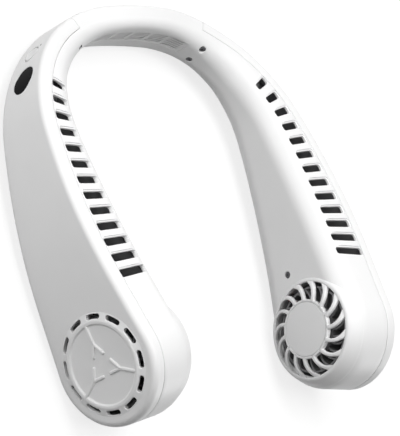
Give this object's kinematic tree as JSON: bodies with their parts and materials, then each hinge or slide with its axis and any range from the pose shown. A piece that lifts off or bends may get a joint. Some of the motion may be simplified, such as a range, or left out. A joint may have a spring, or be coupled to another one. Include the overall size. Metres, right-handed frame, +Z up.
{
  "type": "neck fan",
  "caption": "Electric fan worn round the neck: a rigid horseshoe with a round fan pod at each front end and air outlets along both arms.",
  "frame": {"origin": "middle of the footprint on the plane that the two pods and the neck band rest on", "axes": "+Z up, +Y from the fan pods back to the neck band, +X to the right arm as the wearer of the fan has it when +Y is behind them"},
  "size_m": [0.1768, 0.1842, 0.0536],
  "materials": {
    "white_shell": "glossy, lightly polished",
    "white_button": "glossy",
    "window_black": "polished",
    "dark_plastic": "moulded, matt",
    "light_pipe": "translucent",
    "board_green": "solder mask",
    "screw_steel": "plated",
    "socket_steel": "plated sheet",
    "cell_foil": "satin foil",
    "lead_red": "soft sleeve",
    "brass": "turned",
    "bronze": "sintered",
    "stack_iron": "stamped",
    "winding_copper": "enamelled",
    "rotor_steel": "drawn",
    "magnet": "bonded",
    "shaft_steel": "ground"
  },
  "bodies": {
    "frame": {"main_frame": "white_shell", "left_outer_cover": "white_shell", "right_outer_cover": "white_shell", "left_hub_cap": "white_shell", "right_hub_cap": "white_shell", "neck_louvre_panel": "white_shell", "neck_screws": "screw_steel", "pod_screws": "screw_steel", "power_switch": "dark_plastic", "display_window": "window_black", "display_module": "dark_plastic", "status_light": "light_pipe", "control_board": "board_green", "charging_socket": "socket_steel", "left_battery": "cell_foil", "right_battery": "cell_foil", "left_air_duct": "dark_plastic", "right_air_duct": "dark_plastic", "left_scroll": "dark_plastic", "right_scroll": "dark_plastic", "left_battery_lead": "lead_red", "right_battery_lead": "lead_red", "left_motor_lead": "lead_red", "right_motor_lead": "lead_red", "left_motor_board": "board_green", "right_motor_board": "board_green", "left_bearing_tube": "brass", "right_bearing_tube": "brass", "left_bearings": "bronze", "right_bearings": "bronze", "left_stator": "stack_iron", "right_stator": "stack_iron", "left_windings": "winding_copper", "right_windings": "winding_copper"},
    "left_fan": {"left_shaft": "shaft_steel", "left_rotor_cup": "rotor_steel", "left_magnet_ring": "magnet", "left_impeller": "dark_plastic"},
    "right_fan": {"right_shaft": "shaft_steel", "right_rotor_cup": "rotor_steel", "right_magnet_ring": "magnet", "right_impeller": "dark_plastic"},
    "power_button": {"power_button": "white_button"}
  },
  "joints": [
    {"name": "left_fan_spin", "type": "hinge", "parent": "frame", "child": "left_fan", "pos_m": [-0.06796, -0.06437, 0.02672], "axis": [-0.9904, -0.1327, 0.0385], "continuous": true},
    {"name": "right_fan_spin", "type": "hinge", "parent": "frame", "child": "right_fan", "pos_m": [0.06796, -0.06437, 0.02672], "axis": [0.9904, -0.1327, 0.0385], "continuous": true},
    {"name": "power_button_press", "type": "slide", "parent": "frame", "child": "power_button", "axis": [0.6761, -0.7356, 0.0416], "range_m": [0, 0.00035], "stiffness_N_per_m": 4000}
  ]
}
